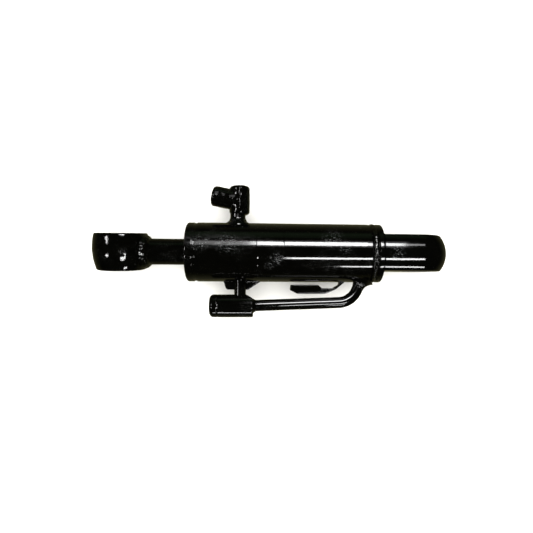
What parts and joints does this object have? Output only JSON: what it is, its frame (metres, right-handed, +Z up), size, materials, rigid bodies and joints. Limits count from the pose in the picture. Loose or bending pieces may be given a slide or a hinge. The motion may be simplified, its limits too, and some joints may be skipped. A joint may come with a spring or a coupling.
{
  "type": "double-acting hydraulic cylinder",
  "caption": "Welded double-acting hydraulic cylinder with pin eyes at both ends, side ports and a fixed feed pipe to the closed end.",
  "frame": {"origin": "centre of the base eye's pin bore, on the cylinder's axis", "axes": "+X along the cylinder towards the rod eye, +Y along the base eye's pin bore towards the feed pipe's side, +Z up as the cylinder lies"},
  "size_m": [0.4377, 0.1627, 0.0744],
  "materials": {
    "black_paint": "gloss black enamel over steel",
    "bush_steel": "ground steel",
    "rod_chrome": "hard chrome, painted black where it stood out of the head when the cylinder was sprayed",
    "machined_steel": "turned steel",
    "seal_rubber": "moulded",
    "guide_plastic": "moulded"
  },
  "bodies": {
    "barrel": {"barrel_tube": "black_paint", "base_eye": "black_paint", "base_weld": "black_paint", "base_eye_bush": "bush_steel", "head_gland": "black_paint", "gland_o_ring": "seal_rubber", "gland_backup_ring": "guide_plastic", "rod_wiper": "seal_rubber", "rod_seal": "seal_rubber", "rod_guide_ring": "guide_plastic", "rod_port_neck": "black_paint", "rod_port_weld": "black_paint", "rod_port_body": "black_paint", "base_port_block": "black_paint", "port_support_post": "black_paint", "port_gusset": "black_paint", "gusset_weld": "black_paint", "feed_pipe": "black_paint", "feed_pipe_weld": "black_paint", "block_pipe_weld": "black_paint", "hose_hook": "black_paint", "hook_weld": "black_paint"},
    "piston_seals": {"piston_seal": "seal_rubber", "piston_guide_ring_rear": "guide_plastic", "piston_guide_ring_front": "guide_plastic"},
    "rod": {"rod": "rod_chrome", "rod_eye": "black_paint", "rod_eye_weld": "black_paint", "rod_eye_bush": "bush_steel", "piston": "machined_steel", "piston_o_ring": "seal_rubber", "piston_nut": "machined_steel"}
  },
  "joints": [
    {"name": "rod_slide", "type": "slide", "parent": "barrel", "child": "piston_seals", "axis": [1, 0, 0], "range_m": [0, 0.108]},
    {"name": "rod_spin", "type": "hinge", "parent": "piston_seals", "child": "rod", "pos_m": [0.098, 0, 0], "axis": [1, 0, 0], "continuous": true}
  ]
}
